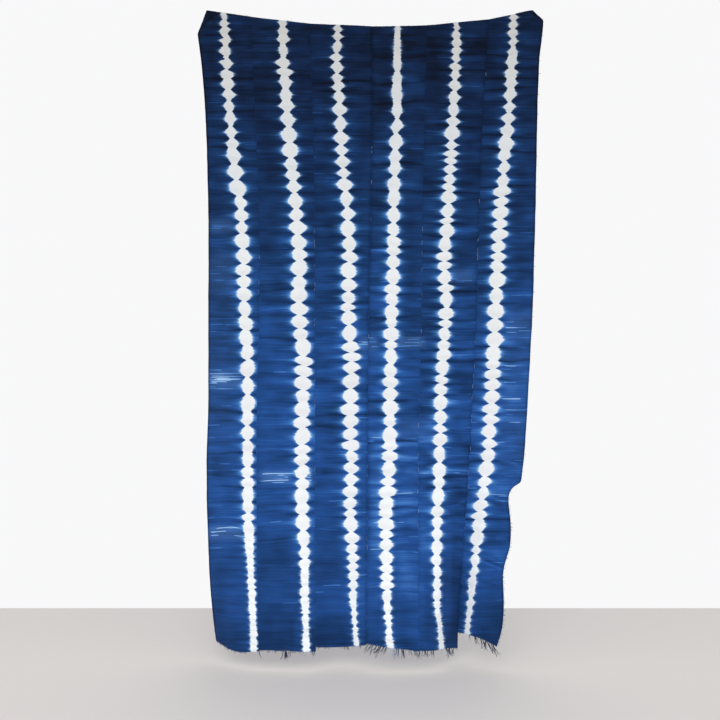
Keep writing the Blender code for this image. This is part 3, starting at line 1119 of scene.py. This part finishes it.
def blue_tone(across, down, x, strip, weft, streak, zone):
    """How light the blue is: 0 is the darkest indigo and 1 the palest."""
    cloud = mottle(x * 13, down * 9, 7.0, 1.0)
    dark_lines = smooth_step(mottle(x * 7, weft.run * 190, 17.0, 0.0), 0.75, 1.05)
    light_lines = smooth_step(mottle(x * 6, weft.run * 260, 41.0, 0.0), 0.65, 1.10)
    uneven = weft.broad * 0.08 + weft.bands * 0.035 + weft.blocks * 0.06
    uneven = uneven - dark_lines * 0.07 + light_lines * 0.08 * zone.low
    # The sheet's tone holds painted shade as well as dye: the darker top, the fold shadows and the
    # crease lines.
    tone = value_of("tone") + fade(abs(across), HALO_REACH) * HALO + cloud * 0.08
    tone = tone + uneven * zone.lively + weft.lines * 0.02 + (weft.thread - 0.5) * 0.04
    light, dark = pleats(across, down, x, strip)
    pleated = (light * (0.6 + 0.4 * streak) - dark) * zone.lively
    tone = tone + pleated * (1 - zone.near_hem) * (0.7 + 0.3 * zone.low)
    worn = value_of("worn")
    faded = mottle(x * 9 + weft.shift * 40, weft.row * 0.37, strip, 0.0)
    scratch = smooth_step(faded + weft.thread * 0.5 + worn * 1.6, 1.22, 1.32)
    return tone + faded * 0.05 + scratch * (worn * 0.35 + 0.09 * zone.low + 0.07)


print("the halo beside a stripe fades over", round(HALO_REACH / MM), "mm")

# %% [markdown]
# The material puts these together: the blues, the worn places, the glow and the rim over them, and
# the undyed cotton over all. Hand-woven cotton is matt, and its threads show as a fine, plain weave
# in low relief. Two sine waves, one for the warp and one for the weft, are enough for that.

# %% Cloth material
COTTON_FINISH = {
    "Roughness": 0.92,
    "Sheen Weight": 0.02,
    "Sheen Roughness": 0.5,
    "Specular IOR Level": 0.08,
}
THREAD = 0.0011
STRIPE_WANDER = 0.0012
EDGE_SOFTNESS = 0.0008
WEAVE_DEPTH = 0.0003
WEAVE_STRENGTH = 0.5


def dyed_cotton():
    """The cloth's material, which reads the maps and values of each sheet."""
    material, shader = new_material("dyed_cotton", COTTON_FINISH)
    Amount.tree = material.node_tree
    across, down = pair("Cloth")
    strip = calc("ROUND", value_of("strip"))
    across = across + mottle(strip * 3.7, down * 32, 5.0, 0.0) * STRIPE_WANDER
    x, _, _ = made_place()
    weft, zone = weft_of(x, down, strip), zone_of(down, strip)
    half_width, arch = bead_half_width(across, down, strip)
    outside = outside_bead(across, down, strip, weft, half_width)
    streak = smooth_step(weft.lines + weft.bands * 0.8, -0.6, 0.9)
    glow, rim = glow_and_rim(across, outside, arch, streak, zone)
    blue = colour_scale(blue_tone(across, down, x, strip, weft, streak, zone), INDIGO_SCALE)
    blue = blend_colours(value_of("worn") * 0.3, blue, WORN_GREY)
    blue = blend_colours(glow, blue, GLOW_BLUE)
    blue = blend_colours(rim, blue, RIM_WHITE)
    undyed = 1 - smooth_step(outside, -EDGE_SOFTNESS, EDGE_SOFTNESS)
    # The undyed cotton greys towards the top, as painted shade.
    cotton = colour_scale(down / UNDYED_LENGTH, UNDYED_WITH_SHADE_SCALE)
    feed(shader.inputs["Base Color"], blend_colours(undyed, blue, cotton))
    over = calc("SINE", across * (math.tau / THREAD))
    under = calc("SINE", down * (math.tau / THREAD) + weft.fine * 0.6)
    height = over * under + weft.fine * 0.3 + weft.lines * 0.1
    add_relief(shader, height, WEAVE_STRENGTH, WEAVE_DEPTH)
    return material


cloth_material = dyed_cotton()
print("the dye is made of", len(cloth_material.node_tree.nodes), "nodes")

# %% [markdown]
# ## Thickness
#
# The sheets so far have no thickness. Solidify gives each the depth of a hand-woven cloth, to the
# back, so that the front stays on the imported front. The back takes the same maps: the dye went
# right through. Before that, the rims and sides are measured on the sheets as the relief left
# them, because the yarn will be rooted there.

# %% Thickness and shading
CLOTH_THICKNESS = 0.0013

rims = {strip: rim_edges(sheet) for strip, sheet in sheets.items()}
sides = {strip: side_lines(sheet) for strip, sheet in sheets.items()}
for strip, sheet in sheets.items():
    apply_modifier(sheet, "SOLIDIFY", thickness=CLOTH_THICKNESS, offset=-1, use_rim=True)
    sheet.data.materials.append(cloth_material)
    sheet.data.shade_smooth()
    bpy.ops.object.mode_set(mode="EDIT")
    bpy.ops.mesh.select_mode(type="EDGE")
    bpy.ops.mesh.select_all(action="DESELECT")
    bpy.ops.mesh.edges_select_sharp(sharpness=RIM_ANGLE)
    bpy.ops.mesh.mark_sharp()
    bpy.ops.object.mode_set(mode="OBJECT")
    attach(sheet, "root")
    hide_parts(f"strip_{strip}")
    print(sheet.name, "now has", len(sheet.data.polygons), "faces")

# %% [markdown]
# ## Yarn
#
# The seams and the fringe are made of the same hand-spun yarn. A length of it is modelled once, as
# by hand: a small five-sided disc is drawn out step by step, with a little sideways move at each
# step, and thinned towards its end. A model is one unit long, so its radius is a share of its
# length. Copies of a few such lengths, turned and scaled, then make all the loose ends, because no
# two of them should look alike and none needs more than a few faces.

# %% Yarn material
YARN_PALE = srgb(198, 208, 222)
YARN_FINISH = {"Roughness": 0.95, "Specular IOR Level": 0.2}
YARN_TWIST = 0.0016
TWIST_DEPTH = 0.0002
TWIST_STRENGTH = 0.6


def cotton_yarn():
    """Yarn that is dark or pale, as each length says."""
    material, shader = new_material("cotton_yarn", YARN_FINISH)
    Amount.tree = material.node_tree
    x, y, z = made_place()
    uneven = mottle(x * 900, y * 900, z * 420, 1.0)
    # The yarn takes the cloth's tone by height, with its painted shade at the top.
    blue = colour_scale(value_of("tone") + uneven * 0.15, INDIGO_SCALE)
    pale = value_of("pale") * (0.9 + uneven * 0.1)
    feed(shader.inputs["Base Color"], blend_colours(pale, blue, YARN_PALE))
    twist = calc("SINE", (z + x) * (math.tau / YARN_TWIST))
    add_relief(shader, twist + uneven, TWIST_STRENGTH, TWIST_DEPTH)
    return material


yarn_material = cotton_yarn()
print("yarn material:", yarn_material.name)

# %% Model lengths of yarn
YARN_SIDES = 5
YARN_STEPS = 8
YARN_THINNING = 0.90


def draw_yarn(name, radius, moves, thinning):
    """A closed length of yarn from the origin, drawn out by these moves."""
    bpy.ops.object.select_all(action="DESELECT")
    bpy.ops.mesh.primitive_circle_add(vertices=YARN_SIDES, radius=radius, fill_type="NGON")
    yarn = bpy.context.object
    yarn.name = name
    bpy.ops.object.mode_set(mode="EDIT")
    bpy.ops.mesh.select_mode(type="FACE")
    bpy.ops.mesh.select_all(action="SELECT")
    for move in moves:
        bpy.ops.mesh.extrude_region_move(TRANSFORM_OT_translate={"value": move})
        bpy.ops.transform.resize(value=(thinning, thinning, 1))
    bpy.ops.mesh.select_all(action="SELECT")
    bpy.ops.mesh.normals_make_consistent(inside=False)
    bpy.ops.object.mode_set(mode="OBJECT")
    yarn.data.shade_smooth()
    return yarn


def loose_end(name, curl, radius):
    """A loose end of unit length that hangs, bends and curls."""
    chance = random.Random(name)
    turn = chance.uniform(0, math.tau)
    moves = []
    for step in range(YARN_STEPS):
        bend = curl * (step / YARN_STEPS) ** 1.4
        swing = turn + step * chance.uniform(0.05, 0.5)
        side = Vector((bend * math.cos(swing), bend * math.sin(swing), 0))
        drop = Vector((0, 0, -math.sqrt(max(1 - bend * bend, 0.05))))
        moves.append((side + drop) / YARN_STEPS)
    return draw_yarn(name, radius, moves, YARN_THINNING)


CURLS = (0.1, 0.3, 0.5, 0.7, 0.9, 1.1, 1.3)
LONG_RADIUS = 0.022
SHORT_RADIUS = 0.08
STITCH_RADIUS = 0.05
STITCH_MOVES = ((0, -0.08, -0.1), (0, -0.04, -0.25), (0, 0, -0.3), (0, 0.04, -0.25), (0, 0.08, -0.1))
long_ends = [loose_end(f"long_end_{curl}", curl, LONG_RADIUS) for curl in CURLS]
short_ends = [loose_end(f"short_end_{curl}", curl, SHORT_RADIUS) for curl in CURLS]
stitch_model = draw_yarn("stitch_model", STITCH_RADIUS, STITCH_MOVES, 1.0)
print("model lengths:", len(long_ends), "long ends,", len(short_ends), "short ones and one stitch")

# %% [markdown]
# The copies are put in place by matrices: each one is scaled to its length, leaned and turned, and
# moved to its root. A copy also carries its own tone and paleness for the material. At the end the
# copies of a piece are joined into one mesh.

# %% Copies of yarn
def yarn_copy(model, root, length, lean, tone, pale):
    """A copy of a model length at its root."""
    mesh = model.data.copy()
    mesh.transform(Matrix.Translation(root) @ lean @ Matrix.Scale(length, 4))
    for name, value in (("tone", tone), ("pale", pale)):
        layer = mesh.attributes.new(name, "FLOAT", "POINT")
        layer.data.foreach_set("value", np.full(len(mesh.vertices), value, dtype=np.float32))
    piece = bpy.data.objects.new("yarn", mesh)
    SCENE.collection.objects.link(piece)
    return piece


def join_yarns(name, yarns):
    """One piece from many copies, with its material, riding on the cloth's body."""
    bpy.ops.object.select_all(action="DESELECT")
    for yarn in yarns:
        yarn.select_set(True)
    bpy.context.view_layer.objects.active = yarns[0]
    bpy.ops.object.join()
    piece = bpy.context.object
    piece.name = piece.data.name = name
    piece.data.materials.append(yarn_material)
    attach(piece, "root")
    return piece


print("tones of yarn at the top and at the hem:", tone_with_shade_at(np.array([0.0, -1.74])).round(2))

# %% [markdown]
# ## Seams
#
# The strips were sewn edge to edge by hand. The stitches lie along the seam, sunk a little into the
# groove, and a few of them are pale, because a new thread was used or the dye has worn off. The
# table gives the share of pale ones, and between which heights they are. A thicker thread lies
# inside the seam and closes it. Each seam is one piece.

# %% Seams
SEAMS = table(
    "number pale top bottom",
    (1, 0.10, -0.60, -1.30),
    (2, 0.20, -0.34, -1.30),
    (3, 0.03, -0.20, -1.70),
    (4, 0.20, -0.50, -1.45),
    (5, 0.18, -0.05, -1.30),
)
STITCH_LENGTH = 9.0 * MM
STITCH_PITCH = 13.0 * MM
STITCH_DEPTH = 0.3 * MM
CORE_RADIUS = 0.7 * MM
CORE_DEPTH = 0.75 * MM
SEAM_SEED = 100


def seam_path(number):
    """Points along a seam, from the hem up, midway between the two selvedges."""
    return (sides[number][1] + sides[number + 1][0]) / 2


def seam_point(path, height):
    """The point of a seam at a height."""
    return Vector([np.interp(height, SIDE_HEIGHTS, path[:, axis]) for axis in range(3)])


def core_thread(path):
    """The thread inside the seam, drawn out point by point."""
    points = [Vector(point) for point in path[::-3]]
    moves = [after - before for before, after in zip(points, points[1:])]
    thread = draw_yarn("core", CORE_RADIUS, moves, 1.0)
    thread.data.transform(Matrix.Translation(points[0] + Vector((0, CORE_DEPTH, 0))))
    tones = [tone_with_shade_at(point.co.z) for point in thread.data.vertices]
    write_value(thread, "tone", tones)
    write_value(thread, "pale", np.zeros(len(tones)))
    return thread


def sew(seam):
    """One seam, with its stitches from the top down."""
    chance = random.Random(SEAM_SEED + seam.number)
    path = seam_path(seam.number)
    core = core_thread(path)
    height = float(path[-1][2]) - STITCH_PITCH
    stitches = [core]
    while height > path[0][2]:
        inside = seam.bottom < height < seam.top
        pale = chance.uniform(0.15, 0.45) if inside and chance.random() < seam.pale else 0.0
        lean = Matrix.Rotation(chance.uniform(-0.16, 0.16), 4, "Y")
        root = seam_point(path, height) + Vector((chance.uniform(-0.5, 0.5) * MM, STITCH_DEPTH, 0))
        length = STITCH_LENGTH * chance.uniform(0.7, 1.25) * (1 + 0.8 * pale)
        tone = tone_with_shade_at(height) * chance.uniform(0.8, 1.5)
        stitches.append(yarn_copy(stitch_model, root, length, lean, tone, pale))
        height -= STITCH_PITCH * chance.uniform(0.8, 1.25)
    return join_yarns(f"seam_{seam.number}", stitches)


seams = {seam.number: sew(seam) for seam in SEAMS}
for number, piece in seams.items():
    print(piece.name, "has", len(piece.data.polygons), "faces")

# %% [markdown]
# ## Raw warp ends and torn edge
#
# The hem was cut and left raw, so its warp threads stand out below it. All along it the ends are
# short. In places they have worked loose and hang longer, in tufts, which are listed: the table gives
# how many clumps a tuft has, their length in millimetres, their lean and how pale they are. Ends in
# the undyed stripe are pale too. Each strip's ends are one piece, which stands for the imported fringe.

# %% Warp ends
TUFTS = table(
    "x half_width clumps length lean pale",
    (-0.378, 0.030, 12, 6, 0.1, 0.6),
    (-0.320, 0.009, 4, 17, 0.45, 0.1),
    (-0.255, 0.020, 8, 7, 0.1, 0.5),
    (-0.228, 0.014, 9, 24, -0.1, 0.05),
    (-0.183, 0.008, 4, 13, 0.1, 0.9),
    (-0.158, 0.005, 4, 12, 0.0, 0.0),
    (-0.083, 0.006, 3, 7, 0.1, 0.9),
    (-0.048, 0.022, 7, 11, 0.1, 0.1),
    (-0.029, 0.004, 3, 8, 0.0, 0.9),
    (0.012, 0.016, 8, 22, -0.55, 0.15),
    (0.040, 0.012, 7, 28, -0.5, 0.1),
    (0.063, 0.008, 8, 30, 0.12, 0.9),
    (0.083, 0.012, 9, 24, -0.1, 0.1),
    (0.118, 0.012, 6, 18, 0.1, 0.1),
    (0.115, 0.030, 12, 7, 0.0, 0.9),
    (0.137, 0.004, 4, 22, -0.1, 0.1),
    (0.165, 0.030, 10, 17, 0.15, 0.1),
    (0.205, 0.010, 4, 12, 0.1, 0.9),
    (0.215, 0.006, 4, 28, 0.75, 0.05),
    (0.228, 0.005, 3, 24, 0.2, 0.05),
    (0.241, 0.003, 2, 20, -0.3, 0.05),
    (0.284, 0.004, 2, 20, 0.1, 0.2),
    (0.296, 0.004, 3, 27, 0.3, 0.1),
    (0.311, 0.004, 4, 29, 0.45, 0.05),
    (0.324, 0.003, 3, 34, 0.26, 0.05),
    (0.339, 0.003, 2, 34, 0.14, 0.05),
)
SHORT_PITCH = 1.3 * MM
SHORT_LENGTH = 3.5 * MM
ROOT_DEPTH = 3.0 * MM
HEM_TOP = -1.680
STRIPE_REACH = 8 * MM
STRIPE_PALE = 0.9
CLUMP = 4
CLUMP_REACH = 0.8 * MM
ENDS_SEED = 77
ends_chance = random.Random(ENDS_SEED)


def hem_point(strip, x):
    """The point of a strip's hem at X, or nothing where X meets only a selvedge."""
    met = [point for point in crossings(rims[strip], 0, x) if point[2] < HEM_TOP]
    return Vector(met[0]) if met else None


def is_in_stripe(strip, point):
    """Whether a point of the hem lies in the undyed stripe."""
    x, height = as_seen(np.array([point]))
    return abs(x[0] - stripe_x(strip, height)[0]) < STRIPE_REACH


def hang_end(models, strip, x, length, lean, pale):
    """One loose end under a strip's hem, rooted a little way up in the cloth."""
    hem = hem_point(strip, x)
    if hem is None:
        return []
    chance = ends_chance
    pale = STRIPE_PALE if is_in_stripe(strip, hem) else pale * chance.uniform(0.6, 1.1)
    root = hem + Vector((0, CLOTH_THICKNESS * chance.uniform(0.2, 0.8), ROOT_DEPTH))
    turn = Matrix.Rotation(chance.uniform(0, math.tau), 4, "Z")
    swing = Matrix.Rotation(-math.atan(lean + chance.uniform(-0.12, 0.12)), 4, "Y")
    tip = Matrix.Rotation(chance.uniform(-0.04, 0.12), 4, "X")
    full = ROOT_DEPTH + length * chance.uniform(0.7, 1.1)
    tone = tone_with_shade_at(hem.z) * chance.uniform(0.0, 0.8)
    return [yarn_copy(chance.choice(models), root, full, swing @ tip @ turn, tone, pale)]


def hang_clump(strip, tuft):
    """A few ends that cling together."""
    chance = ends_chance
    x = tuft.x + tuft.half_width * chance.uniform(-1, 1)
    length = tuft.length * MM * chance.uniform(0.7, 1.4)
    lean = tuft.lean + chance.uniform(-0.35, 0.35)
    clump = []
    for _ in range(CLUMP):
        near = x + chance.uniform(-1, 1) * CLUMP_REACH
        clump += hang_end(long_ends, strip, near, length, lean, tuft.pale)
    return clump


def fringe(strip):
    """All the warp ends of a strip's hem."""
    left, right = sides[strip][0][0, 0], sides[strip][1][0, 0]
    yarns = []
    x = left + SHORT_PITCH
    while x < right - SHORT_PITCH:
        length = SHORT_LENGTH * (0.4 + 2.2 * ends_chance.random() ** 3)
        yarns += hang_end(short_ends, strip, x, length, 0.0, ends_chance.choice((0.0, 0.1, 0.6)))
        x += SHORT_PITCH * ends_chance.uniform(0.7, 1.3)
    for tuft in TUFTS:
        if left < tuft.x < right:
            for _ in range(tuft.clumps):
                yarns += hang_clump(strip, tuft)
    piece = join_yarns(f"warp_ends_{strip}", yarns)
    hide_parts(f"fringe_{strip}")
    return piece


warp_ends = {strip: fringe(strip) for strip in range(1, STRIPS + 1)}
for piece in warp_ends.values():
    print(piece.name, "has", len(piece.data.polygons), "faces")

# %% [markdown]
# Above its notch the right margin is whole, and only a few weft ends stand out of it. Below the
# notch it is torn, with an end at nearly each thread. Along the top edge, thread ends stand up and
# curl. Both are single pieces.

# %% Torn right margin and top edge
TORN_TOP = -1.275
TORN_BOTTOM = -1.735
TORN_PITCH = 1.5 * MM
WHOLE_PITCH = 26 * MM
TORN_LENGTH = 4.8 * MM
EDGE_ROOT = 2 * MM
LONG_FROM = 6 * MM
TOP_LOW = -0.03
TOP_TONE = 0.2
MARGIN_SEED = 5
TOP_SEED = 11
WHISKERS = table(
    "strip x half_width yarns length pale",
    (2, -0.238, 0.022, 12, 7, 0.4),
    (2, -0.180, 0.030, 10, 3, 0.2),
    (1, -0.390, 0.050, 16, 3, 0.1),
    (3, -0.080, 0.070, 22, 2.5, 0.1),
    (4, 0.080, 0.070, 22, 2.5, 0.1),
    (5, 0.230, 0.070, 22, 2.5, 0.1),
    (6, 0.400, 0.060, 18, 3, 0.1),
    (6, 0.468, 0.004, 8, 6, 0.0),
)


def margin_end(height, length, chance):
    """One weft end that stands out to the right."""
    met = crossings(rims[STRIPS], 2, height)
    if not len(met):
        return []
    root = Vector(met[-1]) + Vector((-EDGE_ROOT, CLOTH_THICKNESS / 2, 0))
    outwards = Matrix.Rotation(-math.pi / 2 + chance.uniform(-0.5, 0.5), 4, "Y")
    turn = Matrix.Rotation(chance.uniform(0, math.tau), 4, "Z")
    tone = tone_with_shade_at(height) * chance.uniform(0.3, 1.2)
    pale = chance.choice((0.0, 0.0, 0.0, 0.2))
    model = chance.choice(short_ends)
    return [yarn_copy(model, root, length + EDGE_ROOT, outwards @ turn, tone, pale)]


def torn_margin():
    """Weft ends along the right margin, close together below the notch."""
    chance = random.Random(MARGIN_SEED)
    yarns = []
    height = 0.0
    while height > TORN_BOTTOM:
        torn = height < TORN_TOP
        yarns += margin_end(height, TORN_LENGTH * (0.3 + 1.2 * chance.random() ** 3), chance)
        height -= (TORN_PITCH if torn else WHOLE_PITCH) * chance.uniform(0.5, 1.5)
    return join_yarns("torn_margin_ends", yarns)


def top_whiskers():
    """Thread ends that stand up from the top edge and its corners."""
    chance = random.Random(TOP_SEED)
    yarns = []
    for whisker in WHISKERS:
        for _ in range(whisker.yarns):
            x = whisker.x + whisker.half_width * chance.uniform(-1, 1)
            met = crossings(rims[whisker.strip], 0, x)
            if not len(met) or met[-1][2] < TOP_LOW:
                continue
            root = Vector(met[-1]) + Vector((0, CLOTH_THICKNESS / 2, -EDGE_ROOT))
            upwards = Matrix.Rotation(math.pi + chance.uniform(-0.7, 0.7), 4, "Y")
            turn = Matrix.Rotation(chance.uniform(0, math.tau), 4, "Z")
            length = whisker.length * MM * chance.uniform(0.6, 1.2)
            model = chance.choice(short_ends if length < LONG_FROM else long_ends)
            full = length + EDGE_ROOT
            yarns.append(yarn_copy(model, root, full, upwards @ turn, TOP_TONE, whisker.pale))
    return join_yarns("top_whiskers", yarns)


margin = torn_margin()
whiskers = top_whiskers()
print(whiskers.name, "has", len(whiskers.data.polygons), "faces")
print(margin.name, "has", len(margin.data.polygons), "faces")

# %% [markdown]
# The model lengths have done their work and are removed.

# %% Removing the model lengths
for model in [*long_ends, *short_ends, stitch_model]:
    bpy.data.objects.remove(model)
for strip, sheet in sheets.items():
    strip in seams
print("declared", len(sheets), "sheets")
